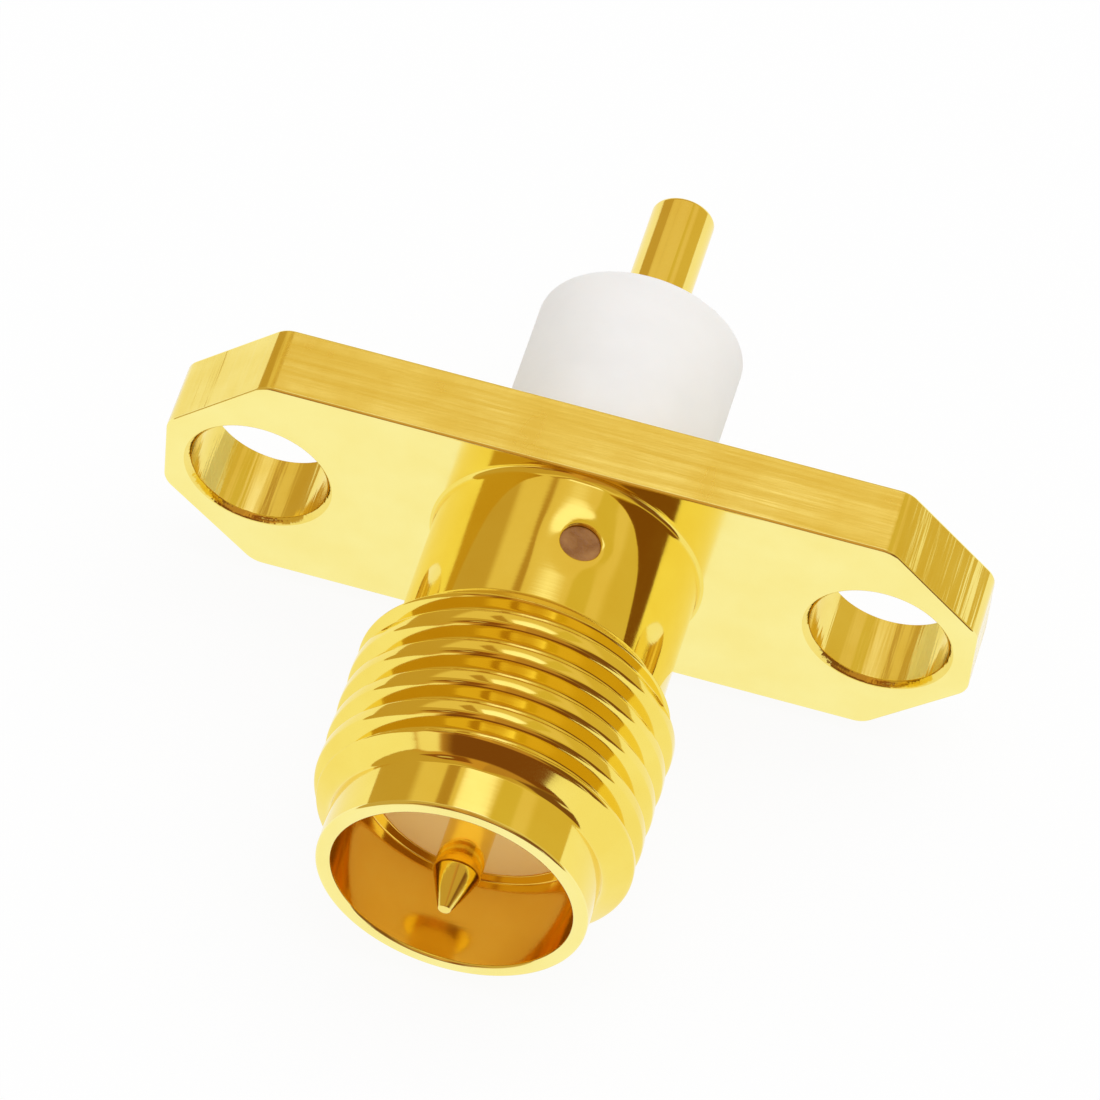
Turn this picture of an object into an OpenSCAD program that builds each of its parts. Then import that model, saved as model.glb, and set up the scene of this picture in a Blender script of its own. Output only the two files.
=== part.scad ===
// Panel receptacle of a small threaded coaxial connector: a two-hole flange with a threaded
// barrel in front of it, a long insulator and a solder tail behind it, and a male pin in the mouth.
// The barrel's axis runs along Y. The mouth looks along -Y, the mounting face lies at y = 0.

/* [Flange] */
// Length of the flange from end to end
flange_length = 15.9; // [13.2:0.1:22]
// Width of the flange across its long sides
flange_width = 5.5; // [5.4:0.1:10]
// Thickness of the flange
flange_thickness = 1.5; // [1:0.1:3]
// Distance that each corner is cut back along both of its sides
corner_cut = 1.85; // [0.8:0.05:2.2]
// Radius that blends the cut corners into the sides
corner_radius = 0.5; // [0.1:0.05:0.8]
// Distance from the centre of each screw hole to the nearer end of the flange
hole_inset = 1.85; // [1.75:0.05:3]
// Diameter of the screw holes
hole_diameter = 2.7; // [2.2:0.1:3]
// Width of the bevel round the front edge of the screw holes
hole_bevel = 0.1; // [0.05:0.05:0.3]

/* [Barrel] */
// Distance from the front of the flange to the mouth
barrel_length = 8; // [7.3:0.1:12]
// Diameter of the plain neck behind the thread
neck_diameter = 5.2; // [4.8:0.05:5.3]
// Length of the neck from the flange to the foot of the thread
neck_length = 2.95; // [2.2:0.05:3.6]
// Size of the bevel where the neck meets the flange
neck_foot = 0.08; // [0.02:0.02:0.14]
// Diameter over the crests of the thread
thread_diameter = 6.22; // [6.1:0.01:6.35]
// Distance from one crest of the thread to the next, 36 to the inch
thread_pitch = 0.7056; // [0.5:0.0001:0.8]
// Angle, from +X towards +Z, at which the thread groove leaves the neck
thread_clock = 135; // [0:5:355]
// Diameter of the plain nose in front of the thread
nose_diameter = 5.2; // [5:0.05:5.4]
// Length of the nose from the thread to the mouth
nose_length = 1.06; // [0.4:0.02:1.6]
// Radius of the hollow that runs from the end of the thread into the nose
nose_fillet = 0.3; // [0.05:0.05:0.4]
// Diameter of the socket in the mouth
socket_diameter = 4.6; // [4.3:0.05:4.75]
// Depth of the socket
socket_depth = 1.95; // [1:0.05:3]
// Width of the bevels on the inner and outer edges of the mouth
mouth_bevel = 0.05; // [0.02:0.01:0.08]

/* [Insulator] */
// Diameter of the insulator
insulator_diameter = 4.1; // [3:0.05:4.2]
// Distance that the insulator stands out behind the flange
insulator_projection = 4; // [0.5:0.1:15]
// Width of the bevel round the insulator's free end
insulator_bevel = 0.1; // [0.02:0.02:0.5]

/* [Contact] */
// Diameter of the contact inside the insulator and of its solder tail
contact_diameter = 1.27; // [1.1:0.01:1.6]
// Distance that the solder tail stands out behind the insulator
tail_length = 3.2; // [0.5:0.1:15]
// Width of the bevel round the end of the solder tail
tail_bevel = 0.1; // [0.02:0.02:0.3]
// Diameter of the pin in the mouth
pin_diameter = 0.91; // [0.8:0.01:1]
// Distance that the pin stands out of the insulator, from the contact's shoulder to its tip
pin_length = 2.37; // [1.2:0.01:2.6]
// Length of the pin's pointed end
point_length = 0.82; // [0.3:0.02:1]
// Diameter of the flat on the pin's point
point_diameter = 0.24; // [0.06:0.02:0.4]

/* [Lock] */
// Diameter of the hole through which the resin is let in
lock_diameter = 0.8; // [0.5:0.05:0.9]
// Distance of that hole from the front of the flange
lock_offset = 1.4; // [0.6:0.05:1.7]
// Angle of that hole, from +X towards +Z
lock_clock = 79; // [0:1:180]
// Distance that the resin stays below the surface of the neck
lock_recess = 0.12; // [0.05:0.01:0.3]
// Width of the groove round the contact that the resin fills
groove_width = 1; // [0.95:0.05:1.6]
// Depth of that groove
groove_depth = 0.15; // [0.05:0.01:0.3]

/* [Fits] */
// Gap left all round a piece that sits inside another
fit_gap = 0.01; // [0.002:0.002:0.04]

/* [Hidden] */
$fn = 96;

// Distances along the barrel are heights above the mounting face, towards the mouth.
neck_start = flange_thickness;
thread_start = neck_start + neck_length;
mouth = flange_thickness + barrel_length;
thread_end = mouth - nose_length;
insulator_face = mouth - socket_depth;
insulator_end = -insulator_projection;
pin_tip = insulator_face + pin_length;
tail_end = insulator_end - tail_length;
lock_height = neck_start + lock_offset;

hole_x = flange_length / 2 - hole_inset;
neck_radius = neck_diameter / 2;
nose_radius = nose_diameter / 2;
insulator_radius = insulator_diameter / 2;
contact_radius = contact_diameter / 2;
pin_radius = pin_diameter / 2;
lock_radius = lock_diameter / 2;
groove_radius = contact_radius - groove_depth;

past = 0.1; // how far a cutter runs past the face it cuts

// A 60 degree thread with a crest three eighths of the pitch wide and a root an eighth wide.
crest_radius = thread_diameter / 2;
thread_height = thread_pitch * sqrt(3) / 2;
root_radius = crest_radius - thread_height / 2;
root_width = thread_pitch / 8;
cutter_radius = crest_radius + past;
steps_per_turn = 60;
groove_overrun = 0.75; // turns that the cut runs on past each end of the thread

corner_bend = 45; // how far the flange's outline turns at each corner
corner_steps = 5;
fillet_steps = 4;

brass = [0.87, 0.68, 0.25];
ptfe = [0.93, 0.92, 0.89];
resin = [0.55, 0.33, 0.18];

// Stands its children, drawn upright, along the barrel's axis with their tops at the mouth.
module along_barrel() {
    rotate([90, 0, 0]) children();
}

// Points of the arc that blends one corner. heading is the way the outline arrives at it.
function blended_corner(corner, heading) =
    let (outward = heading - 90)
    let (middle = outward + corner_bend / 2)
    let (centre = corner - corner_radius / cos(corner_bend / 2) * [cos(middle), sin(middle)])
    [
        for (i = [0 : corner_steps])
            let (a = outward + corner_bend * i / corner_steps)
            centre + corner_radius * [cos(a), sin(a)]
    ];

// Outline of the flange: a long octagon with blended corners, drawn anticlockwise.
function flange_outline() =
    let (x = flange_length / 2)
    let (y = flange_width / 2)
    let (c = corner_cut)
    concat(
        blended_corner([x - c, -y], 0),
        blended_corner([x, -y + c], 45),
        blended_corner([x, y - c], 90),
        blended_corner([x - c, y], 135),
        blended_corner([c - x, y], 180),
        blended_corner([-x, y - c], 225),
        blended_corner([-x, c - y], 270),
        blended_corner([c - x, -y], 315)
    );

module flange() {
    linear_extrude(flange_thickness) polygon(flange_outline());
}

// Cuts a 45 degree bevel round the front edge of a bore, whose face is at height 0.
module bore_bevel(diameter, bevel) {
    translate([0, 0, -bevel]) cylinder(d1 = diameter, d2 = diameter + 4 * bevel, h = 2 * bevel);
}

module screw_hole(x) {
    translate([x, 0, -past]) cylinder(d = hole_diameter, h = flange_thickness + 2 * past);
    translate([x, 0, flange_thickness]) bore_bevel(hole_diameter, hole_bevel);
}

// Points of the hollow between the 45 degree end of the thread and the nose.
function nose_hollow() =
    let (reach = nose_fillet * tan(22.5))
    [
        for (i = [fillet_steps : -1 : 0])
            let (a = 45 * i / fillet_steps)
            [
                nose_radius + nose_fillet * (1 - cos(a)),
                thread_end + reach - nose_fillet * sin(a)
            ]
    ];

// The barrel as turned, before the thread is cut: neck, thread blank with 45 degree ends, nose.
module turned_barrel() {
    rotate_extrude() polygon(concat(
        [
            [0, 0],
            [neck_radius + neck_foot, 0],
            [neck_radius + neck_foot, neck_start],
            [neck_radius, neck_start + neck_foot],
            [neck_radius, thread_start],
            [crest_radius, thread_start + crest_radius - neck_radius],
            [crest_radius, thread_end - crest_radius + nose_radius]
        ],
        nose_hollow(),
        [
            [nose_radius, mouth - mouth_bevel],
            [nose_radius - mouth_bevel, mouth],
            [0, mouth]
        ]
    ));
}

// Half the width of the thread groove at a radius: its sides lean 30 degrees.
function groove_half_width(radius) = root_width / 2 + (radius - root_radius) * tan(30);

// The four corners of the groove's section, as radius and height, in order round it.
function groove_section() = [
    [root_radius, -groove_half_width(root_radius)],
    [cutter_radius, -groove_half_width(cutter_radius)],
    [cutter_radius, groove_half_width(cutter_radius)],
    [root_radius, groove_half_width(root_radius)]
];

// The right-hand helical cut: the section carried round and along the barrel.
module thread_groove() {
    turns = (thread_end - thread_start) / thread_pitch + 2 * groove_overrun;
    steps = ceil(turns * steps_per_turn);
    section = groove_section();
    points = [
        for (i = [0 : steps])
            let (turn = i / steps_per_turn - groove_overrun)
            let (angle = thread_clock + 360 * turn)
            for (corner = section)
                [
                    corner[0] * cos(angle),
                    corner[0] * sin(angle),
                    thread_start + turn * thread_pitch + corner[1]
                ]
    ];
    sides = [
        for (i = [0 : steps - 1], j = [0 : 3])
            let (a = 4 * i + j)
            let (b = 4 * i + (j + 1) % 4)
            for (face = [[a, b + 4, a + 4], [a, b, b + 4]])
                face
    ];
    last = 4 * steps;
    ends = [[2, 1, 0], [3, 2, 0], [last, last + 1, last + 2], [last, last + 2, last + 3]];
    polyhedron(points = points, faces = concat(sides, ends), convexity = 10);
}

// A rod that runs out from the axis, where the resin is let in.
module lock_rod(radius, reach) {
    translate([0, 0, lock_height]) rotate([0, 0, lock_clock]) rotate([0, 90, 0])
        cylinder(r = radius, h = reach);
}

module body() {
    color(brass) along_barrel() difference() {
        union() {
            flange();
            turned_barrel();
        }
        thread_groove();
        translate([0, 0, -past]) cylinder(r = insulator_radius + fit_gap, h = mouth + 2 * past);
        translate([0, 0, insulator_face]) cylinder(d = socket_diameter, h = socket_depth + past);
        translate([0, 0, mouth]) bore_bevel(socket_diameter, mouth_bevel);
        lock_rod(lock_radius, neck_radius + past);
        screw_hole(-hole_x);
        screw_hole(hole_x);
    }
}

module insulator() {
    color(ptfe) along_barrel() difference() {
        rotate_extrude() polygon([
            [0, insulator_end],
            [insulator_radius - insulator_bevel, insulator_end],
            [insulator_radius, insulator_end + insulator_bevel],
            [insulator_radius, insulator_face],
            [0, insulator_face]
        ]);
        translate([0, 0, insulator_end - past])
            cylinder(r = contact_radius + fit_gap, h = insulator_face - insulator_end + 2 * past);
        lock_rod(lock_radius, insulator_radius + past);
    }
}

module contact() {
    color(brass) along_barrel() rotate_extrude() polygon([
        [0, tail_end],
        [contact_radius - tail_bevel, tail_end],
        [contact_radius, tail_end + tail_bevel],
        [contact_radius, lock_height - groove_width / 2],
        [groove_radius, lock_height - groove_width / 2],
        [groove_radius, lock_height + groove_width / 2],
        [contact_radius, lock_height + groove_width / 2],
        [contact_radius, insulator_face],
        [pin_radius, insulator_face],
        [pin_radius, pin_tip - point_length],
        [point_diameter / 2, pin_tip],
        [0, pin_tip]
    ]);
}

// Resin that fills the hole through the neck and the insulator, and the groove in the contact.
module lock_resin() {
    color(resin) along_barrel() difference() {
        union() {
            lock_rod(lock_radius - fit_gap, neck_radius - lock_recess);
            translate([0, 0, lock_height - groove_width / 2 + fit_gap])
                cylinder(r = contact_radius, h = groove_width - 2 * fit_gap);
        }
        translate([0, 0, lock_height - groove_width])
            cylinder(r = groove_radius + fit_gap, h = 2 * groove_width);
    }
}

body();
insulator();
contact();
lock_resin();
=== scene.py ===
"""Gold-plated panel connector: the looks built round its solids.

The barrel's axis runs along Y and the mouth looks along -Y. Lengths are in millimetres until a
mesh is made, and metres from there on. "Along" is the distance in front of the flange's front face.
"""

import math

import bpy
import numpy as np
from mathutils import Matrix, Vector
from mathutils.geometry import delaunay_2d_cdt


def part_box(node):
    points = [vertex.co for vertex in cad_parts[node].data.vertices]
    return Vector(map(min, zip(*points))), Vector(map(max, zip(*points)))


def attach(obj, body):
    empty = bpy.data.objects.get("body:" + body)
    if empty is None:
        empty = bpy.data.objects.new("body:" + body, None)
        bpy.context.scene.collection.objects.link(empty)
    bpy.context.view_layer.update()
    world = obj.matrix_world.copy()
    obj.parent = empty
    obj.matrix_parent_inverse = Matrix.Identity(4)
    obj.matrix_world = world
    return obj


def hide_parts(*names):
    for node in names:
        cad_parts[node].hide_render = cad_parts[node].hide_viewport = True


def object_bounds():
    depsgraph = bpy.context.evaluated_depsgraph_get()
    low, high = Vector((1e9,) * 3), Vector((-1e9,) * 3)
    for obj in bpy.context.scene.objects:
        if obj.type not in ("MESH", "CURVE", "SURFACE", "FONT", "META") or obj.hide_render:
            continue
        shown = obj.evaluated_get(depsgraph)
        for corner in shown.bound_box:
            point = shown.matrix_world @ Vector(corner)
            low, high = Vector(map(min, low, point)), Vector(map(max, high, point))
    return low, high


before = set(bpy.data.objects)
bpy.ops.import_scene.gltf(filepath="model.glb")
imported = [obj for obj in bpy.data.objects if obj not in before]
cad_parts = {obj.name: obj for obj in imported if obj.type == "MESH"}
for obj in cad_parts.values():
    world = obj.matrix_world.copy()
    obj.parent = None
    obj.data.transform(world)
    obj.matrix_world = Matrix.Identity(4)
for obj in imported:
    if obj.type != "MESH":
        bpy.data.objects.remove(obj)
cad_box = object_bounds()

MM = 0.001

# ---------------------------------------------------------------- sizes, from the solids' boxes
body_low, body_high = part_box("body")
insulator_low, insulator_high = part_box("insulator")
contact_low, contact_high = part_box("contact")

FLANGE_THICKNESS = 1.5
FLANGE_LENGTH = (body_high.x - body_low.x) / MM
FLANGE_WIDTH = 5.5
CORNER_CUT = 1.85
CORNER_RADIUS = 0.5
EDGE_RADIUS = 0.055
HOLE_X = 6.1
HOLE_RADIUS = 1.35
HOLE_BEVEL = 0.1

NECK_RADIUS = 2.6
NOSE_RADIUS = 2.6
FOOT_SPREAD = 0.09
FOOT_HEIGHT = 0.16
THREAD_START = 2.95
THREAD_END = 6.94
CREST_RADIUS = body_high.z / MM
THREAD_PITCH = 0.7056
ROOT_RADIUS = CREST_RADIUS - THREAD_PITCH * math.sqrt(3) / 4
ROOT_WIDTH = THREAD_PITCH / 8
THREAD_CLOCK = 135  # degrees from +X towards +Z at which the groove leaves the neck
CREST_ROUNDING = 0.08
CREST_CROWN = 1.2  # radius of the slight crown across each crest
SHOULDER_SLOPE = 1.6  # fall of the thread's front end, for each unit along the axis
ROOT_ROUNDING = 0.04
HOLLOW_ROUNDING = 0.15
THREAD_MARGIN = 0.06  # how far the thread's rows start behind its foot

MOUTH = -body_low.y / MM - FLANGE_THICKNESS
RIM_ROUNDING = 0.08
SOCKET_RADIUS = 2.3
SOCKET_DEPTH = 1.95
BORE_RADIUS = 2.06

INSULATOR_RADIUS = insulator_high.z / MM
INSULATOR_END = insulator_high.y / MM + FLANGE_THICKNESS
INSULATOR_FACE = -insulator_low.y / MM - FLANGE_THICKNESS
CONTACT_RADIUS = contact_high.z / MM
PIN_RADIUS = 0.455
PIN_TIP = -contact_low.y / MM - FLANGE_THICKNESS
POINT_LENGTH = 0.82
POINT_RADIUS = 0.12
TAIL_END = contact_high.y / MM + FLANGE_THICKNESS

LOCK_ALONG = 1.4
LOCK_RADIUS = 0.4
LOCK_TURN = 11  # degrees from +Z towards +X
LOCK_WALL_END = 2.3
LOCK_EDGE_ROUNDING = 0.03
DENT_DEPTH = 0.035
DENT_WIDTH = 0.15

# how finely the surfaces are divided
COLUMNS = 240
THREAD_ROWS = 250
ROUNDING_STEPS = 8
EDGE_STEPS = 6
HOLE_COLUMNS = 96
# the window left in the neck's rows for the round hole: columns to each side, and where it starts and ends
WINDOW_COLUMNS = 14
WINDOW_ROWS = (0.5, 2.3)
NECK_ROW_SPACING = 0.1
LAST_NECK_ROW = 2.6


# ---------------------------------------------------------------- mesh building
class Shell:
    """Points with their own normals, and the faces between them."""

    def __init__(self):
        self.points = []
        self.normals = []
        self.faces = []
        self.finishes = []

    def row(self, points, normals):
        first = len(self.points)
        self.points.extend(points)
        self.normals.extend(normals)
        return list(range(first, len(self.points)))

    def face(self, corners, finish):
        self.faces.append(tuple(corners))
        self.finishes.append(finish)

    def bridge(self, row_a, row_b, finish, skip=()):
        count = len(row_a)
        for i in range(count):
            if i in skip:
                continue
            j = (i + 1) % count
            self.face((row_a[i], row_a[j], row_b[j], row_b[i]), finish)

    def cap(self, row, finish):
        self.face(row, finish)

    def plate(self, outline, openings, finish, facing):
        """Fills the flat ring between an outline and its openings."""
        rows = [outline] + openings
        used = [i for row in rows for i in row]
        place = {index: k for k, index in enumerate(used)}
        flat = [Vector((self.points[i][0], self.points[i][2])) for i in used]
        edges = []
        for row in rows:
            edges += [(place[row[i]], place[row[(i + 1) % len(row)]]) for i in range(len(row))]
        result = delaunay_2d_cdt(flat, edges, [], 0, 1e-7)
        centres = [(self.middle(row), self.reach(row)) for row in openings]
        for corners in result[2]:
            original = [used[result[3][c][0]] for c in corners]
            x = sum(self.points[i][0] for i in original) / 3
            z = sum(self.points[i][2] for i in original) / 3
            if any(math.hypot(x - cx, z - cz) < reach for (cx, cz), reach in centres):
                continue
            if not self.inside(x, z, outline):
                continue
            self.face(original if facing > 0 else original[::-1], finish)

    def middle(self, row):
        xs = [self.points[i][0] for i in row]
        zs = [self.points[i][2] for i in row]
        return sum(xs) / len(xs), sum(zs) / len(zs)

    def reach(self, row):
        cx, cz = self.middle(row)
        return min(math.hypot(self.points[i][0] - cx, self.points[i][2] - cz) for i in row) * 0.999

    def inside(self, x, z, row):
        count = 0
        for k, i in enumerate(row):
            j = row[(k + 1) % len(row)]
            ax, az = self.points[i][0], self.points[i][2]
            bx, bz = self.points[j][0], self.points[j][2]
            if (az > z) != (bz > z) and x < (bx - ax) * (z - az) / (bz - az) + ax:
                count += 1
        return count % 2 == 1

    def build(self, name, materials):
        """Makes the mesh, with its faces turned to agree with the normals."""
        points = np.array(self.points)
        normals = np.array(self.normals)
        normals /= np.linalg.norm(normals, axis=1)[:, None]
        faces = []
        for corners in self.faces:
            a, b, c = points[corners[0]], points[corners[1]], points[corners[2]]
            towards = normals[list(corners)].sum(0)
            faces.append(corners if np.dot(np.cross(b - a, c - a), towards) >= 0 else corners[::-1])
        mesh = bpy.data.meshes.new(name)
        mesh.from_pydata((points * MM).tolist(), [], faces)
        for material in materials:
            mesh.materials.append(material)
        for polygon, finish in zip(mesh.polygons, self.finishes):
            polygon.use_smooth = True
            polygon.material_index = finish
        mesh.update()
        mesh.normals_split_custom_set_from_vertices(normals.tolist())
        piece = bpy.data.objects.new(name, mesh)
        bpy.context.scene.collection.objects.link(piece)
        return piece


def place(radius, turn, along):
    """A point at a turn in degrees from +Z towards +X, and a distance in front of the flange."""
    angle = math.radians(turn)
    return (radius * math.sin(angle), -along - FLANGE_THICKNESS, radius * math.cos(angle))


def lean(turn, outward, forward):
    """A normal with its outward and its forward part."""
    angle = math.radians(turn)
    return (outward * math.sin(angle), -forward, outward * math.cos(angle))


def arc(centre_radius, centre_along, radius, start, end, steps, hollow=False):
    """Profile points round a small arc. Angles in degrees, from outward (0) to forward (90)."""
    profile = []
    for k in range(steps + 1):
        angle = math.radians(start + (end - start) * k / steps)
        outward, forward = math.cos(angle), math.sin(angle)
        sign = -1 if hollow else 1
        point = (centre_radius + radius * outward, centre_along + radius * forward)
        profile.append(point + (sign * outward, sign * forward))
    return profile


def turn_profile(shell, profile, turns, finish, first=None):
    """Carries a profile of (radius, along, outward, forward) round the axis, one row a point."""
    previous = first
    rows = []
    for radius, along, outward, forward in profile:
        points = [place(radius, t, along) for t in turns]
        row = shell.row(points, [lean(t, outward, forward) for t in turns])
        if previous is not None:
            shell.bridge(previous, row, finish)
        rows.append(row)
        previous = row
    return rows


# ---------------------------------------------------------------- the thread's surface
def soft_less(a, b, width):
    """The lesser of two heights, blended where they are close."""
    blend = np.maximum(width - np.abs(a - b), 0) / width
    return np.minimum(a, b) - blend * blend * width / 4


def soft_more(a, b, width):
    """The greater of two heights, blended where they are close."""
    return -soft_less(-a, -b, width)


def thread_height(turn, along):
    """The barrel's radius at a turn and a distance: a turned blank with a helical groove."""
    rear = soft_more(NECK_RADIUS + along - THREAD_START, NECK_RADIUS, ROOT_ROUNDING)
    front = soft_more(NOSE_RADIUS + SHOULDER_SLOPE * (THREAD_END - along), NOSE_RADIUS, HOLLOW_ROUNDING)
    angle = 90 - turn
    grooves = (along - THREAD_START) / THREAD_PITCH - (angle - THREAD_CLOCK) / 360
    away = np.abs(grooves - np.round(grooves)) * THREAD_PITCH
    crest = CREST_RADIUS - (THREAD_PITCH / 2 - away) ** 2 / (2 * CREST_CROWN)
    blank = soft_less(soft_less(rear, front, CREST_ROUNDING), crest, CREST_ROUNDING)
    flank = (away - ROOT_WIDTH / 2) * math.sqrt(3)
    groove = ROOT_RADIUS + soft_more(flank, 0, ROOT_ROUNDING)
    return soft_less(blank, groove, CREST_ROUNDING)


def thread_rows(shell, turns, starts, ends, finish, first):
    """The threaded stretch, row by row, with normals from the slope of its surface."""
    step_along = 0.002
    step_turn = 0.05
    previous = first
    for along in np.linspace(starts, ends, THREAD_ROWS + 1)[1:-1]:
        here = np.full(len(turns), along)
        radius = thread_height(turns, here)
        rise = thread_height(turns, here + step_along) - thread_height(turns, here - step_along)
        slope = rise / (2 * step_along)
        rise = thread_height(turns + step_turn, here) - thread_height(turns - step_turn, here)
        twist = rise / (2 * math.radians(step_turn))
        points, normals = [], []
        for t, r, s, w in zip(turns, radius, slope, twist):
            points.append(place(r, t, along))
            angle = math.radians(t)
            around = (math.cos(angle), 0, -math.sin(angle))
            base = lean(t, 1, -s)
            normals.append(tuple(base[k] - around[k] * w / r for k in range(3)))
        row = shell.row(points, normals)
        shell.bridge(previous, row, finish)
        previous = row
    return previous


# ---------------------------------------------------------------- the hole in the neck
def hole_patch(shell, rows, alongs, turns, centre_column, finish, wall_finish):
    """Joins the rectangular window left in the neck's rows to the round hole inside it."""
    left, right = centre_column - WINDOW_COLUMNS, centre_column + WINDOW_COLUMNS
    loop = [(c, 0) for c in range(left, right)]
    loop += [(right, r) for r in range(len(rows) - 1)]
    loop += [(c, len(rows) - 1) for c in range(right, left, -1)]
    loop += [(left, r) for r in range(len(rows) - 1, 0, -1)]
    border = [rows[r][c % COLUMNS] for c, r in loop]
    offsets = []
    for c, r in loop:
        swing = math.radians(turns[c % COLUMNS] - LOCK_TURN)
        offsets.append((NECK_RADIUS * math.sin(swing), alongs[r] - LOCK_ALONG))
    angles = [math.atan2(b, a) for a, b in offsets]
    reaches = [math.hypot(a, b) for a, b in offsets]

    def ring(reaches_here, drop, wall_lean):
        points, normals = [], []
        for angle, reach in zip(angles, reaches_here):
            across, ahead = reach * math.cos(angle), reach * math.sin(angle)
            dent = DENT_DEPTH * math.exp((LOCK_RADIUS - reach) / DENT_WIDTH)
            swing = math.asin(max(-1, min(1, across / NECK_RADIUS)))
            turn = LOCK_TURN + math.degrees(swing)
            radial = NECK_RADIUS - dent - drop
            points.append(place(radial, turn, LOCK_ALONG + ahead))
            tilt = dent / DENT_WIDTH
            skin = Vector(lean(turn, 1, 0))
            sideways = Vector(lean(turn + 90, 1, 0))
            forward = Vector((0, -1, 0))
            outward = sideways * math.cos(angle) + forward * math.sin(angle)
            surface = (skin - outward * tilt).normalized()
            normals.append(tuple(surface * math.cos(wall_lean) - outward * math.sin(wall_lean)))
        return shell.row(points, normals)

    previous = border
    dent_rings = 16
    closing_up = 1.6  # how much closer together the rings lie near the hole
    edge = LOCK_RADIUS + LOCK_EDGE_ROUNDING
    for k in range(1, dent_rings + 1):
        share = (1 - k / dent_rings) ** closing_up
        here = ring([edge + (r - edge) * share for r in reaches], 0, 0)
        shell.bridge(previous, here, finish)
        previous = here
    edge_rings = 4
    for k in range(1, edge_rings + 1):
        bend = math.pi / 2 * k / edge_rings
        reach = edge - LOCK_EDGE_ROUNDING * math.sin(bend)
        here = ring([reach] * len(loop), LOCK_EDGE_ROUNDING * (1 - math.cos(bend)), bend)
        shell.bridge(previous, here, finish)
        previous = here
    points, normals = [], []
    swing0 = math.radians(LOCK_TURN)
    for angle in angles:
        across, ahead = LOCK_RADIUS * math.cos(angle), LOCK_RADIUS * math.sin(angle)
        x = LOCK_WALL_END * math.sin(swing0) + across * math.cos(swing0)
        z = LOCK_WALL_END * math.cos(swing0) - across * math.sin(swing0)
        points.append((x, -LOCK_ALONG - ahead - FLANGE_THICKNESS, z))
        normals.append(
            (-math.cos(angle) * math.cos(swing0), math.sin(angle), math.cos(angle) * math.sin(swing0))
        )
    floor_row = shell.row(points, normals)
    shell.bridge(previous, floor_row, wall_finish)
    shell.cap(floor_row, wall_finish)


# ---------------------------------------------------------------- the body
def flange_outline(inset):
    """Points and outward directions round the flange, drawn anticlockwise seen from the front."""
    half_length, half_width = FLANGE_LENGTH / 2, FLANGE_WIDTH / 2
    corners = [
        (half_length - CORNER_CUT, -half_width, 0),
        (half_length, CORNER_CUT - half_width, 45),
        (half_length, half_width - CORNER_CUT, 90),
        (half_length - CORNER_CUT, half_width, 135),
        (CORNER_CUT - half_length, half_width, 180),
        (-half_length, half_width - CORNER_CUT, 225),
        (-half_length, CORNER_CUT - half_width, 270),
        (CORNER_CUT - half_length, -half_width, 315),
    ]
    outline = []
    bend = 45  # how far the outline turns at each corner
    radius = CORNER_RADIUS - inset
    back = CORNER_RADIUS / math.cos(math.radians(bend / 2))
    for x, z, heading in corners:
        middle = math.radians(heading - 90 + bend / 2)
        cx, cz = x - back * math.cos(middle), z - back * math.sin(middle)
        for k in range(ROUNDING_STEPS + 1):
            a = math.radians(heading - 90 + bend * k / ROUNDING_STEPS)
            nx, nz = math.cos(a), math.sin(a)
            outline.append((cx + radius * nx, cz + radius * nz, nx, nz))
    return outline


def outline_row(shell, inset, along, outward, forward):
    outline = flange_outline(inset)
    points = [(x, -along - FLANGE_THICKNESS, z) for x, z, _, _ in outline]
    normals = [(nx * outward, -forward, nz * outward) for _, _, nx, nz in outline]
    return shell.row(points, normals)


def hole_rows(shell, x, finish):
    """A screw hole from the front face to the rear face, with a bevel in front."""
    rounding = 0.02
    profile = [(HOLE_RADIUS + HOLE_BEVEL + rounding, 0, 0, 1)]
    profile.append((HOLE_RADIUS + HOLE_BEVEL, -rounding / 2, -0.5, 0.8))
    profile.append((HOLE_RADIUS + rounding, -HOLE_BEVEL, -0.8, 0.6))
    profile.append((HOLE_RADIUS, -HOLE_BEVEL - rounding, -1, 0))
    profile.append((HOLE_RADIUS, -FLANGE_THICKNESS + rounding, -1, 0))
    profile.append((HOLE_RADIUS + rounding, -FLANGE_THICKNESS, 0, -1))
    rows = []
    for radius, along, outward, forward in profile:
        points, normals = [], []
        for k in range(HOLE_COLUMNS):
            a = 2 * math.pi * k / HOLE_COLUMNS
            points.append((x + radius * math.sin(a), -along - FLANGE_THICKNESS, radius * math.cos(a)))
            normals.append((outward * math.sin(a), -forward, outward * math.cos(a)))
        row = shell.row(points, normals)
        if rows:
            shell.bridge(rows[-1], row, finish)
        rows.append(row)
    return rows[0], rows[-1]


# the body's finishes, in the order of its materials
TURNED, FACED_PAINTED_HIGHLIGHT, BRUSHED, MILLED, SOCKET = range(5)


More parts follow.
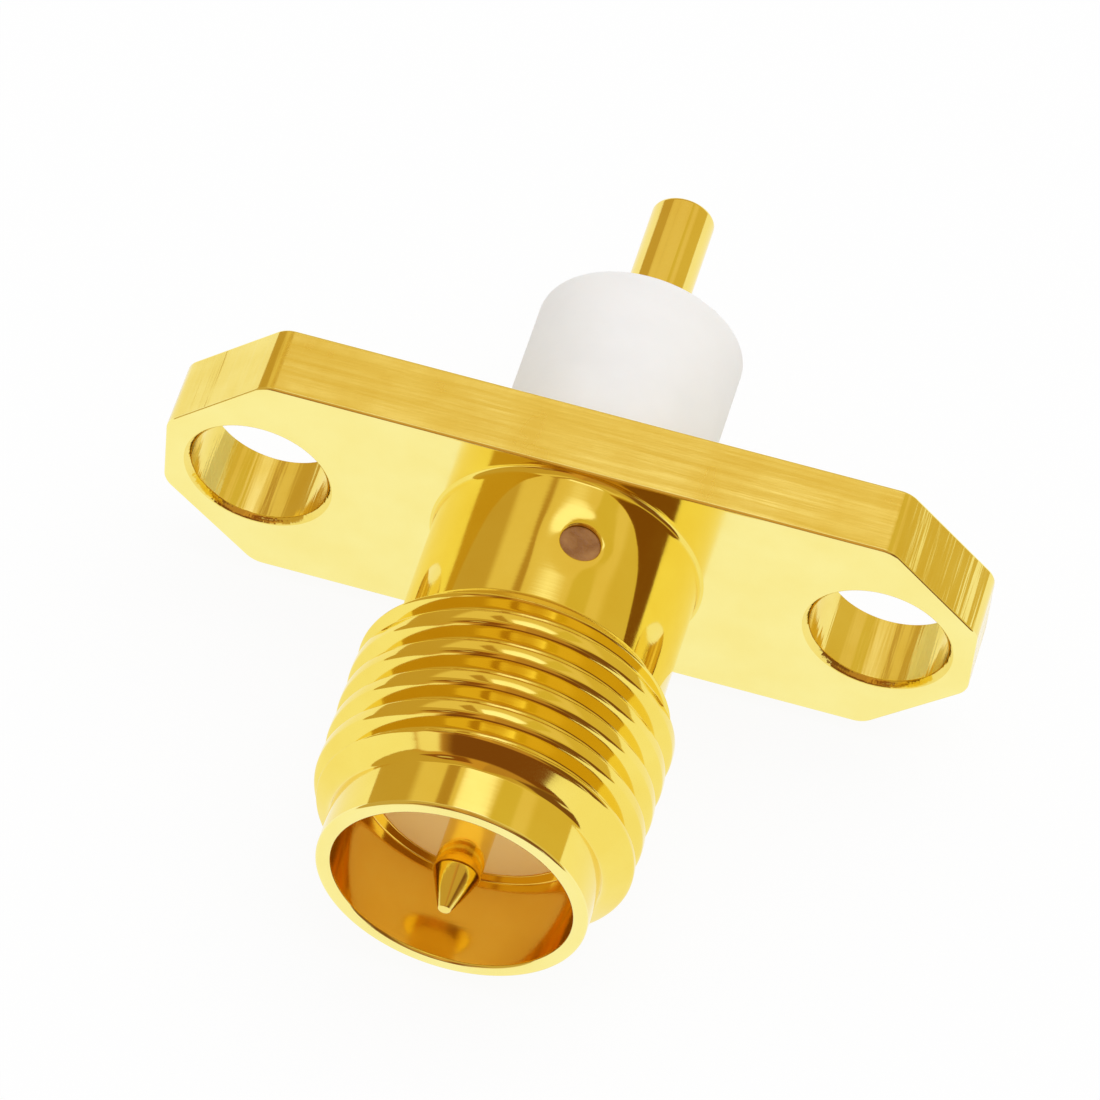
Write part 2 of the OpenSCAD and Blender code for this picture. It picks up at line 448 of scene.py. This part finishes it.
def make_body(materials):
    shell = Shell()
    turns = LOCK_TURN + np.arange(COLUMNS) * 360 / COLUMNS

    # flange: rounded edges in front and behind, straight sides between
    front = outline_row(shell, EDGE_RADIUS, 0, 0, 1)
    previous = front
    count = len(front)
    side_finish = []
    outline = flange_outline(0)
    long_side = 12  # degrees off the long sides' own direction that are still brushed
    for k in range(count):
        nx, nz = (outline[k][i] + outline[(k + 1) % count][i] for i in (2, 3))
        facing = math.degrees(math.atan2(nz, nx))
        side_finish.append(BRUSHED if abs(abs(facing) - 90) < long_side else MILLED)

    def join(row_a, row_b, edge=False):
        for i in range(count):
            j = (i + 1) % count
            shell.face((row_a[i], row_a[j], row_b[j], row_b[i]), FACED_PAINTED_HIGHLIGHT if edge else side_finish[i])

    for k in range(1, EDGE_STEPS + 1):
        bend = math.pi / 2 * k / EDGE_STEPS
        outward, forward = math.sin(bend), math.cos(bend)
        row = outline_row(shell, EDGE_RADIUS * (1 - outward), -EDGE_RADIUS * (1 - forward), outward, forward)
        join(previous, row, edge=True)
        previous = row
    for k in range(EDGE_STEPS + 1):
        bend = math.pi / 2 * k / EDGE_STEPS
        outward, backward = math.cos(bend), math.sin(bend)
        along = EDGE_RADIUS * (1 - backward) - FLANGE_THICKNESS
        row = outline_row(shell, EDGE_RADIUS * (1 - outward), along, outward, -backward)
        join(previous, row, edge=k > 0)
        previous = row
    rear = previous
    left_front, left_rear = hole_rows(shell, -HOLE_X, MILLED)
    right_front, right_rear = hole_rows(shell, HOLE_X, MILLED)

    # neck: a hollow fillet at its foot, then rows up to the thread
    foot = []
    for k in range(ROUNDING_STEPS + 1):
        bend = math.pi / 2 * k / ROUNDING_STEPS
        radius = NECK_RADIUS + FOOT_SPREAD * (1 - math.sin(bend))
        along = FOOT_HEIGHT * (1 - math.cos(bend))
        foot.append((radius, along, FOOT_HEIGHT * math.sin(bend), FOOT_SPREAD * math.cos(bend)))
    foot_rows = turn_profile(shell, foot, turns, TURNED)
    window_start, window_end = WINDOW_ROWS
    alongs = np.arange(window_start, window_end + NECK_ROW_SPACING / 2, NECK_ROW_SPACING)
    previous = foot_rows[-1]
    rows = []
    window = set(range(COLUMNS - WINDOW_COLUMNS, COLUMNS)) | set(range(WINDOW_COLUMNS))
    for along in alongs:
        row = turn_profile(shell, [(NECK_RADIUS, along, 1, 0)], turns, TURNED)[0]
        shell.bridge(previous, row, TURNED, skip=window if rows else ())
        rows.append(row)
        previous = row
    hole_patch(shell, rows, alongs, turns, COLUMNS, TURNED, SOCKET)
    thread_foot = THREAD_START - THREAD_MARGIN
    neck = [(NECK_RADIUS, LAST_NECK_ROW, 1, 0), (NECK_RADIUS, thread_foot, 1, 0)]
    before_thread = turn_profile(shell, neck, turns, TURNED, first=previous)[-1]

    # thread, nose, mouth, socket and bore
    nose_start = THREAD_END + HOLLOW_ROUNDING + 0.01
    thread_last = thread_rows(shell, turns, thread_foot, nose_start, TURNED, before_thread)
    rim = RIM_ROUNDING
    nose_alongs = (nose_start, (nose_start + MOUTH) / 2, MOUTH - rim - 0.005)
    nose = [(NOSE_RADIUS, along, 1, 0) for along in nose_alongs]
    nose_last = turn_profile(shell, nose, turns, TURNED, first=thread_last)[-1]
    lip = arc(NOSE_RADIUS - rim, MOUTH - rim, rim, 0, 90, ROUNDING_STEPS)
    lip += arc(SOCKET_RADIUS + rim, MOUTH - rim, rim, 90, 180, ROUNDING_STEPS)
    lip_last = turn_profile(shell, lip, turns, FACED_PAINTED_HIGHLIGHT, first=nose_last)[-1]
    floor_along = MOUTH - SOCKET_DEPTH
    corner = 0.03
    edge = 0.02
    inside = [(SOCKET_RADIUS, MOUTH - SOCKET_DEPTH / 2, -1, 0)]
    inside += arc(SOCKET_RADIUS - corner, floor_along + corner, corner, 0, -90, 4, hollow=True)
    inside += arc(BORE_RADIUS + edge, floor_along - edge, edge, 90, 180, 4)
    inside += [(BORE_RADIUS, 0, -1, 0), (BORE_RADIUS, edge - FLANGE_THICKNESS, -1, 0)]
    inside += [(BORE_RADIUS + edge, -FLANGE_THICKNESS, 0, -1)]
    bore_last = turn_profile(shell, inside, turns, SOCKET, first=lip_last)[-1]

    shell.plate(front, [foot_rows[0], left_front, right_front], FACED_PAINTED_HIGHLIGHT, 1)
    shell.plate(rear, [bore_last, left_rear, right_rear], FACED_PAINTED_HIGHLIGHT, -1)
    return shell.build("gold_body", materials)


# ---------------------------------------------------------------- insulator and contact
def make_insulator(material):
    shell = Shell()
    columns = 144
    turns = np.arange(columns) * 360 / columns
    rounding = 0.11
    front_rounding = 0.03
    seam = 0.001
    bore = CONTACT_RADIUS + 0.01
    profile = [(bore, -INSULATOR_END, 0, -1), (INSULATOR_RADIUS - rounding, -INSULATOR_END, 0, -1)]
    profile += arc(INSULATOR_RADIUS - rounding, rounding - INSULATOR_END, rounding, -80, 0, 7)
    profile += [(INSULATOR_RADIUS, -2.5, 1, 0), (INSULATOR_RADIUS, INSULATOR_FACE - front_rounding, 1, 0)]
    profile += arc(
        INSULATOR_RADIUS - front_rounding, INSULATOR_FACE - front_rounding, front_rounding, 20, 90, 3
    )
    profile += [(bore + 0.3, INSULATOR_FACE, 0, 1), (bore, INSULATOR_FACE, 0, 1)]
    rows = turn_profile(shell, profile, turns, 0)
    wall = [(bore, INSULATOR_FACE - seam, -1, 0), (bore, seam - INSULATOR_END, -1, 0)]
    inner = turn_profile(shell, wall, turns, 0, first=rows[-1])
    shell.bridge(inner[-1], rows[0], 0)
    return shell.build("ptfe_insulator", [material])


def make_contact(material):
    shell = Shell()
    columns = 96
    turns = np.arange(columns) * 360 / columns
    tail_rounding = 0.1
    slope = math.atan2(PIN_RADIUS - POINT_RADIUS, POINT_LENGTH)
    shoulder = PIN_TIP - POINT_LENGTH
    outward, forward = math.cos(slope), math.sin(slope)
    profile = [(CONTACT_RADIUS - tail_rounding, -TAIL_END, 0, -1)]
    profile += arc(CONTACT_RADIUS - tail_rounding, tail_rounding - TAIL_END, tail_rounding, -80, 0, 7)
    profile += [(CONTACT_RADIUS, -2, 1, 0), (CONTACT_RADIUS, INSULATOR_FACE - 0.02, 1, 0)]
    profile += arc(CONTACT_RADIUS - 0.02, INSULATOR_FACE - 0.02, 0.02, 30, 90, 2)
    profile += [(PIN_RADIUS + 0.01, INSULATOR_FACE, 0, 1), (PIN_RADIUS, INSULATOR_FACE + 0.01, 1, 0)]
    profile += [(PIN_RADIUS, shoulder - 0.03, 1, 0)]
    profile += [(PIN_RADIUS - 0.002, shoulder, math.cos(slope / 2), math.sin(slope / 2))]
    profile += [(PIN_RADIUS - 0.03 * math.tan(slope) - 0.001, shoulder + 0.03, outward, forward)]
    profile += [(POINT_RADIUS + 0.03 * math.tan(slope), PIN_TIP - 0.03, outward, forward)]
    profile += arc(POINT_RADIUS - 0.022, PIN_TIP - 0.03, 0.03, 30, 90, 4)
    rows = turn_profile(shell, profile, turns, 0)
    shell.cap(rows[0], 0)
    shell.cap(rows[-1], 0)
    return shell.build("gold_contact", [material])


# ---------------------------------------------------------------- shared finish effects
def new_group(name, inputs, outputs):
    group = bpy.data.node_groups.new(name, "ShaderNodeTree")
    for label, kind, value in inputs:
        socket = group.interface.new_socket(name=label, in_out="INPUT", socket_type=kind)
        if value is not None:
            socket.default_value = value
    for label, kind in outputs:
        group.interface.new_socket(name=label, in_out="OUTPUT", socket_type=kind)
    entry = group.nodes.new("NodeGroupInput")
    leave = group.nodes.new("NodeGroupOutput")
    return group, entry, leave


def calc(tree, operation, *values):
    node = tree.nodes.new("ShaderNodeMath")
    node.operation = operation
    for k, value in enumerate(values):
        if isinstance(value, (int, float)):
            node.inputs[k].default_value = value
        else:
            tree.links.new(value, node.inputs[k])
    return node.outputs[0]


def combine(tree, x, y, z):
    node = tree.nodes.new("ShaderNodeCombineXYZ")
    for k, value in enumerate((x, y, z)):
        if isinstance(value, (int, float)):
            node.inputs[k].default_value = value
        else:
            tree.links.new(value, node.inputs[k])
    return node.outputs[0]


def noise(tree, vector, scale, detail=2.0, roughness=0.5):
    node = tree.nodes.new("ShaderNodeTexNoise")
    tree.links.new(vector, node.inputs["Vector"])
    if isinstance(scale, (int, float)):
        node.inputs["Scale"].default_value = scale
    else:
        tree.links.new(scale, node.inputs["Scale"])
    node.inputs["Detail"].default_value = detail
    node.inputs["Roughness"].default_value = roughness
    return node.outputs["Fac"]


def spread(tree, value, low, high):
    node = tree.nodes.new("ShaderNodeMapRange")
    node.clamp = True
    tree.links.new(value, node.inputs["Value"])
    node.inputs["From Min"].default_value = low
    node.inputs["From Max"].default_value = high
    return node.outputs["Result"]


def smooth(tree, value, low, high):
    node = tree.nodes.new("ShaderNodeMapRange")
    node.interpolation_type = "SMOOTHSTEP"
    tree.links.new(value, node.inputs["Value"])
    node.inputs["From Min"].default_value = low
    node.inputs["From Max"].default_value = high
    return node.outputs["Result"]


def blend_colours(tree, share, first, second):
    node = tree.nodes.new("ShaderNodeMix")
    node.data_type = "RGBA"
    if isinstance(share, (int, float)):
        node.inputs[0].default_value = share
    else:
        tree.links.new(share, node.inputs[0])
    for socket, value in ((node.inputs[6], first), (node.inputs[7], second)):
        if isinstance(value, tuple):
            socket.default_value = value
        else:
            tree.links.new(value, socket)
    return node.outputs[2]


def make_turning_marks():
    """Fine rings left by the lathe, and faint facets along the axis from the polishing."""
    group, entry, leave = new_group(
        "Turning marks",
        [
            ("Rings per mm", "NodeSocketFloat", 18.0),
            ("Facets", "NodeSocketFloat", 1.0),
        ],
        [("Rings", "NodeSocketFloat"), ("Facets", "NodeSocketFloat")],
    )
    where = group.nodes.new("ShaderNodeTexCoord")
    parts = group.nodes.new("ShaderNodeSeparateXYZ")
    group.links.new(where.outputs["Object"], parts.inputs[0])
    turn = calc(group, "ARCTAN2", parts.outputs[0], parts.outputs[2])
    along = calc(group, "MULTIPLY", parts.outputs[1], 1000.0)
    rings = calc(group, "MULTIPLY", along, entry.outputs["Rings per mm"])
    group.links.new(noise(group, combine(group, turn, rings, 0.0), 1.0, 2.0), leave.inputs["Rings"])
    round_x = calc(group, "MULTIPLY", calc(group, "SINE", turn), entry.outputs["Facets"])
    round_z = calc(group, "MULTIPLY", calc(group, "COSINE", turn), entry.outputs["Facets"])
    slow = calc(group, "MULTIPLY", along, 0.12)
    facets = noise(group, combine(group, round_x, slow, round_z), 1.0, 2.5)
    group.links.new(facets, leave.inputs["Facets"])
    return group


def make_drawn_streaks():
    """Streaks that run one way across a milled or brushed surface."""
    group, entry, leave = new_group(
        "Drawn streaks",
        [
            ("Along X", "NodeSocketFloat", 1.0),
            ("Along Y", "NodeSocketFloat", 1.0),
            ("Along Z", "NodeSocketFloat", 1.0),
        ],
        [("Streaks", "NodeSocketFloat"), ("Broad", "NodeSocketFloat")],
    )
    where = group.nodes.new("ShaderNodeTexCoord")
    parts = group.nodes.new("ShaderNodeSeparateXYZ")
    group.links.new(where.outputs["Object"], parts.inputs[0])
    axes = []
    for k, label in enumerate(("Along X", "Along Y", "Along Z")):
        metres = calc(group, "MULTIPLY", parts.outputs[k], 1000.0)
        axes.append(calc(group, "MULTIPLY", metres, entry.outputs[label]))
    vector = combine(group, *axes)
    group.links.new(noise(group, vector, 1.0, 3.0, 0.6), leave.inputs["Streaks"])
    group.links.new(noise(group, vector, 0.3, 1.0), leave.inputs["Broad"])
    return group


def make_plating_tone():
    """Slow shifts between two shades of one finish, with a cloud of finer specks."""
    group, entry, leave = new_group(
        "Plating tone",
        [
            ("Shade", "NodeSocketColor", (0.9, 0.7, 0.2, 1)),
            ("Second shade", "NodeSocketColor", (0.8, 0.6, 0.2, 1)),
            ("Clouds per mm", "NodeSocketFloat", 0.8),
        ],
        [("Color", "NodeSocketColor"), ("Clouds", "NodeSocketFloat")],
    )
    where = group.nodes.new("ShaderNodeTexCoord")
    size = calc(group, "MULTIPLY", entry.outputs["Clouds per mm"], 1000.0)
    clouds = spread(group, noise(group, where.outputs["Object"], size, 4.0, 0.55), 0.35, 0.65)
    colour = blend_colours(group, clouds, entry.outputs["Shade"], entry.outputs["Second shade"])
    group.links.new(colour, leave.inputs["Color"])
    group.links.new(clouds, leave.inputs["Clouds"])
    return group


TURNING_MARKS = make_turning_marks()
DRAWN_STREAKS = make_drawn_streaks()
PLATING_TONE = make_plating_tone()


def use_group(tree, group, **values):
    node = tree.nodes.new("ShaderNodeGroup")
    node.node_tree = group
    for label, value in values.items():
        node.inputs[label.replace("_", " ")].default_value = value
    return node


def new_material(name):
    material = bpy.data.materials.new(name)
    material.use_nodes = True
    tree = material.node_tree
    shader = next(n for n in tree.nodes if n.type == "BSDF_PRINCIPLED")
    return material, tree, shader


def bump(tree, height, strength, distance, under=None):
    node = tree.nodes.new("ShaderNodeBump")
    node.inputs["Strength"].default_value = strength
    node.inputs["Distance"].default_value = distance
    tree.links.new(height, node.inputs["Height"])
    if under is not None:
        tree.links.new(under, node.inputs["Normal"])
    return node.outputs["Normal"]


def gold(name, shade, second, roughness, spread_by, rings=None, facets=None, streaks=None, painted_glow=None):
    """Gold plate. Rings and facets are (per mm, height in m), streaks (x, y, z per mm, height).

    A painted glow, a faint emission, stands for the light that goes on from wall to wall inside a narrow
    hollow.
    """
    material, tree, shader = new_material(name)
    if painted_glow:
        shader.inputs["Emission Color"].default_value = painted_glow
        shader.inputs["Emission Strength"].default_value = 1.0
    shader.inputs["Metallic"].default_value = 1.0
    tone = use_group(tree, PLATING_TONE, Shade=shade, Second_shade=second, Clouds_per_mm=0.7)
    tree.links.new(tone.outputs["Color"], shader.inputs["Base Color"])
    rough = calc(tree, "MULTIPLY_ADD", tone.outputs["Clouds"], spread_by, roughness)
    tree.links.new(rough, shader.inputs["Roughness"])
    normal = None
    if rings:
        marks = use_group(tree, TURNING_MARKS, Rings_per_mm=rings[0], Facets=facets[0])
        normal = bump(tree, marks.outputs["Facets"], 1.0, facets[1])
        normal = bump(tree, marks.outputs["Rings"], 1.0, rings[1], under=normal)
    if streaks:
        x, y, z, height = streaks
        lines = use_group(tree, DRAWN_STREAKS, Along_X=x, Along_Y=y, Along_Z=z)
        normal = bump(tree, lines.outputs["Broad"], 1.0, height * 3)
        normal = bump(tree, lines.outputs["Streaks"], 1.0, height, under=normal)
    if normal is not None:
        tree.links.new(normal, shader.inputs["Normal"])
    return material


# Painted light: the insulator's face inside the socket gets a tan colour and a glow, stronger towards the
# top, that stand in for the light the gold walls round it throw on it.
SOCKET_PAINTED_LIGHT_PTFE = (0.94, 0.72, 0.34, 1)
SOCKET_PAINTED_GLOW = (0.14, 0.06, 0.0, 1)
UPPER_SOCKET_PAINTED_GLOW = (0.4, 0.26, 0.02, 1)


def make_ptfe():
    material, tree, shader = new_material("ptfe")
    shade, second = (0.86, 0.845, 0.835, 1), (0.9, 0.885, 0.875, 1)
    tone = use_group(tree, PLATING_TONE, Shade=shade, Second_shade=second, Clouds_per_mm=0.5)
    where = tree.nodes.new("ShaderNodeTexCoord")
    parts = tree.nodes.new("ShaderNodeSeparateXYZ")
    tree.links.new(where.outputs["Object"], parts.inputs[0])
    face = -(FLANGE_THICKNESS + INSULATOR_FACE) * MM
    # painted light inside the socket: a tan base colour, and a glow that is stronger towards the top
    inside = smooth(tree, parts.outputs[1], face + 0.3 * MM, face + 0.1 * MM)
    upper = smooth(tree, parts.outputs[2], 0.4 * MM, 1.4 * MM)
    painted_light_colour = blend_colours(tree, inside, tone.outputs["Color"], SOCKET_PAINTED_LIGHT_PTFE)
    tree.links.new(painted_light_colour, shader.inputs["Base Color"])
    painted_glow = blend_colours(tree, upper, SOCKET_PAINTED_GLOW, UPPER_SOCKET_PAINTED_GLOW)
    no_painted_glow = (0.0, 0.0, 0.0, 1)
    tree.links.new(blend_colours(tree, inside, no_painted_glow, painted_glow), shader.inputs["Emission Color"])
    shader.inputs["Emission Strength"].default_value = 1.0
    rough = calc(tree, "MULTIPLY_ADD", tone.outputs["Clouds"], 0.1, 0.42)
    tree.links.new(rough, shader.inputs["Roughness"])
    shader.inputs["Subsurface Weight"].default_value = 0.25
    shader.inputs["Subsurface Radius"].default_value = (0.0006, 0.0005, 0.00045)
    shader.inputs["Subsurface Scale"].default_value = 1.0
    shader.inputs["IOR"].default_value = 1.36
    marks = use_group(tree, TURNING_MARKS, Rings_per_mm=9.0, Facets=1.5)
    tree.links.new(bump(tree, marks.outputs["Rings"], 0.6, 0.000002), shader.inputs["Normal"])
    return material


def make_resin():
    material, tree, shader = new_material("lock_resin")
    shade, second = (0.25, 0.09, 0.015, 1), (0.38, 0.17, 0.045, 1)
    tone = use_group(tree, PLATING_TONE, Shade=shade, Second_shade=second, Clouds_per_mm=3.0)
    tree.links.new(tone.outputs["Color"], shader.inputs["Base Color"])
    rough = calc(tree, "MULTIPLY_ADD", tone.outputs["Clouds"], 0.2, 0.25)
    tree.links.new(rough, shader.inputs["Roughness"])
    tree.links.new(bump(tree, tone.outputs["Clouds"], 0.5, 0.00002), shader.inputs["Normal"])
    return material


turned_gold = gold(
    "turned_gold",
    (0.94, 0.76, 0.16, 1),
    (0.92, 0.72, 0.13, 1),
    0.06,
    0.03,
    rings=(14.0, 0.0000003),
    facets=(2.6, 0.000012),
)
# the faced surfaces get a paler gold: a painted highlight for their bright reflection, on top of their own
# satin finish and streaks
faced_gold_painted_highlight = gold(
    "faced_gold_painted_highlight",
    (0.98, 0.87, 0.32, 1),
    (0.97, 0.84, 0.28, 1),
    0.09,
    0.05,
    streaks=(1.2, 1.2, 1.2, 0.0000015),
)
brushed_gold = gold(
    "brushed_gold",
    (0.93, 0.74, 0.17, 1),
    (0.9, 0.68, 0.12, 1),
    0.2,
    0.08,
    streaks=(0.5, 9.0, 9.0, 0.000004),
)
milled_gold = gold(
    "milled_gold",
    (0.94, 0.77, 0.21, 1),
    (0.9, 0.7, 0.14, 1),
    0.1,
    0.06,
    streaks=(3.2, 0.15, 3.2, 0.00002),
)
# painted light: the socket, the bore and the lock hole's wall glow faintly for the light bounced between the
# gold walls
socket_gold = gold(
    "socket_gold",
    (0.93, 0.72, 0.17, 1),
    (0.9, 0.66, 0.13, 1),
    0.08,
    0.04,
    rings=(14.0, 0.0000006),
    facets=(2.0, 0.000006),
    painted_glow=(0.03, 0.009, 0.0, 1),
)
contact_gold = gold(
    "contact_gold",
    (0.94, 0.76, 0.2, 1),
    (0.92, 0.72, 0.17, 1),
    0.07,
    0.04,
    rings=(12.0, 0.0000006),
    facets=(8.0, 0.000003),
)
ptfe = make_ptfe()
lock_resin = make_resin()

# ---------------------------------------------------------------- pieces
body = make_body([turned_gold, faced_gold_painted_highlight, brushed_gold, milled_gold, socket_gold])
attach(body, "root")
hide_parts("body")

insulator = make_insulator(ptfe)
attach(insulator, "root")
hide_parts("insulator")

contact = make_contact(contact_gold)
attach(contact, "root")
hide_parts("contact")

resin_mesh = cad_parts["lock_resin"].data
resin_mesh.materials.clear()
resin_mesh.materials.append(lock_resin)

# ---------------------------------------------------------------- floor, tent, lamps, world
WHITE = (1.0, 1.0, 1.0, 1.0)
FLOOR_HALF = 1.5


def emission(tree, colour, strength):
    node = tree.nodes.new("ShaderNodeEmission")
    if isinstance(colour, tuple):
        node.inputs["Color"].default_value = colour
    else:
        tree.links.new(colour, node.inputs["Color"])
    node.inputs["Strength"].default_value = strength
    return node.outputs[0]


def mix_shaders(tree, share, first, second):
    node = tree.nodes.new("ShaderNodeMixShader")
    tree.links.new(share, node.inputs[0])
    tree.links.new(first, node.inputs[1])
    tree.links.new(second, node.inputs[2])
    return node.outputs[0]


def seen_directly(tree):
    """1 for rays from the camera, a mirror or a clear material, 0 for rays that carry light."""
    rays = tree.nodes.new("ShaderNodeLightPath")
    either = calc(tree, "MAXIMUM", rays.outputs["Is Camera Ray"], rays.outputs["Is Glossy Ray"])
    return calc(tree, "MAXIMUM", either, rays.outputs["Is Transmission Ray"])


def make_floor():
    height = cad_box[0][2]
    corners = [(FLOOR_HALF * x, FLOOR_HALF * y, height) for x, y in ((-1, -1), (1, -1), (1, 1), (-1, 1))]
    mesh = bpy.data.meshes.new("floor")
    mesh.from_pydata(corners, [], [(0, 1, 2, 3)])
    floor = bpy.data.objects.new("floor", mesh)
    bpy.context.scene.collection.objects.link(floor)
    material = bpy.data.materials.new("white_table")
    material.use_nodes = True
    tree = material.node_tree
    tree.nodes.clear()
    leave = tree.nodes.new("ShaderNodeOutputMaterial")
    matt = tree.nodes.new("ShaderNodeBsdfDiffuse")
    matt.inputs["Color"].default_value = (0.95, 0.95, 0.95, 1)
    rays = tree.nodes.new("ShaderNodeLightPath")
    mirrored = calc(tree, "MAXIMUM", rays.outputs["Is Glossy Ray"], rays.outputs["Is Transmission Ray"])
    to_camera = calc(tree, "MULTIPLY", rays.outputs["Is Camera Ray"], 0.92)
    share = calc(tree, "MAXIMUM", to_camera, calc(tree, "MULTIPLY", mirrored, 0.96))
    shown = mix_shaders(tree, share, matt.outputs[0], emission(tree, WHITE, 1.0))
    tree.links.new(shown, leave.inputs[0])
    mesh.materials.append(material)


TENT_CLOTH = (0.58, 0.4, 0.13, 1)
# each panel: azimuth from and to, elevation from and to, softness, all in degrees, and its colour
TENT_PANELS = [
    (15, 95, -9, 62, 8, (0.7, 0.54, 0.18, 1)),
    (-58, 60, 32, 95, 6, (0.8, 0.64, 0.33, 1)),
    (24, 42, 41, 95, 3, (0.7, 0.55, 0.17, 1)),
    (-36, -25, 47, 95, 2, (0.48, 0.29, 0.08, 1)),
    (-24, 32, 66, 95, 3, (0.62, 0.42, 0.16, 1)),
    (-20, 28, 54.5, 64, 3, (1.2, 1.2, 1.5, 1)),
    (-190, -150, -9, 95, 12, (0.6, 0.33, 0.1, 1)),
    (150, 190, -9, 95, 12, (0.5, 0.27, 0.09, 1)),
    (96, 150, -9, 45, 10, (0.2, 0.085, 0.03, 1)),
    (150, 190, -9, 18, 6, (0.2, 0.07, 0.02, 1)),
    (-190, -162, -9, 18, 6, (0.2, 0.07, 0.02, 1)),
    (133, 139, -9, 12, 3, (0.95, 0.9, 0.85, 1)),
    (-160, -152, -1, 9, 3, (0.95, 0.88, 0.75, 1)),
    (-169, -141, 19, 46, 4, (0.26, 0.09, 0.02, 1)),
    (-158, -148, 27, 33, 4, (0.75, 0.65, 0.45, 1)),
]


def window(tree, value, low, high, soft):
    """1 between two limits, with soft edges of a given width."""
    rise = smooth(tree, value, low - soft / 2, low + soft / 2)
    fall = smooth(tree, value, high + soft / 2, high - soft / 2)
    return calc(tree, "MULTIPLY", rise, fall)


def make_tent():
    """The studio's walls over the table: seen only in the metal, dimmer than the white table."""
    radius = 0.6
    rings, columns = 24, 48
    points, faces = [], []
    for r in range(rings + 1):
        rise = math.pi / 2 * r / rings
        for c in range(columns):
            a = 2 * math.pi * c / columns
            out = radius * math.cos(rise)
            points.append((out * math.sin(a), out * math.cos(a), radius * math.sin(rise)))
    for r in range(rings):
        for c in range(columns):
            d = (c + 1) % columns
            low, high = r * columns, (r + 1) * columns
            faces.append((low + c, low + d, high + d, high + c))
    mesh = bpy.data.meshes.new("studio_tent")
    mesh.from_pydata(points, [], faces)
    tent = bpy.data.objects.new("studio_tent", mesh)
    bpy.context.scene.collection.objects.link(tent)
    for rays in ("camera", "diffuse", "shadow", "transmission", "volume_scatter"):
        setattr(tent, "visible_" + rays, False)
    material = bpy.data.materials.new("tent_cloth")
    material.use_nodes = True
    tree = material.node_tree
    tree.nodes.clear()
    leave = tree.nodes.new("ShaderNodeOutputMaterial")
    where = tree.nodes.new("ShaderNodeTexCoord")
    direction = tree.nodes.new("ShaderNodeVectorMath")
    direction.operation = "NORMALIZE"
    tree.links.new(where.outputs["Object"], direction.inputs[0])
    parts = tree.nodes.new("ShaderNodeSeparateXYZ")
    tree.links.new(direction.outputs[0], parts.inputs[0])
    x, y, z = parts.outputs
    azimuth = calc(tree, "DEGREES", calc(tree, "ARCTAN2", x, y))
    elevation = calc(tree, "DEGREES", calc(tree, "ARCSINE", z))
    colour = TENT_CLOTH
    for low, high, bottom, top, soft, shade in TENT_PANELS:
        across = window(tree, azimuth, low, high, soft)
        upward = window(tree, elevation, bottom, top, soft)
        colour = blend_colours(tree, calc(tree, "MULTIPLY", across, upward), colour, shade)
    tree.links.new(emission(tree, colour, 1.0), leave.inputs[0])
    mesh.materials.append(material)


def make_lights():
    sun = bpy.data.lights.new("overhead", "SUN")
    sun.angle = math.radians(60)
    sun.energy = 0.9
    holder = bpy.data.objects.new("overhead", sun)
    holder.location = (0, 0, 0.5)
    holder.rotation_euler = (math.radians(-12), math.radians(14), 0)
    holder.visible_glossy = False
    bpy.context.scene.collection.objects.link(holder)


def make_world():
    world = bpy.data.worlds.new("studio")
    bpy.context.scene.world = world
    world.use_nodes = True
    tree = world.node_tree
    tree.nodes.clear()
    leave = tree.nodes.new("ShaderNodeOutputWorld")
    shown = tree.nodes.new("ShaderNodeBackground")
    shown.inputs["Color"].default_value = WHITE
    shown.inputs["Strength"].default_value = 1.0
    light = tree.nodes.new("ShaderNodeBackground")
    light.inputs["Color"].default_value = WHITE
    light.inputs["Strength"].default_value = 0.72
    surface = mix_shaders(tree, seen_directly(tree), light.outputs[0], shown.outputs[0])
    tree.links.new(surface, leave.inputs["Surface"])


def make_camera():
    data = bpy.data.cameras.new("camera")
    data.lens = 252.72
    data.sensor_width = 36
    data.clip_start = 0.01
    data.clip_end = 10
    camera = bpy.data.objects.new("camera", data)
    camera.location = (0.014966, -0.087195, 0.117467)
    camera.rotation_euler = (math.radians(36.3764), math.radians(-3.9794), math.radians(15.4996))
    bpy.context.scene.collection.objects.link(camera)
    bpy.context.scene.camera = camera


make_floor()
make_tent()
make_lights()
make_world()
make_camera()
bpy.context.scene.view_settings.view_transform = "Standard"
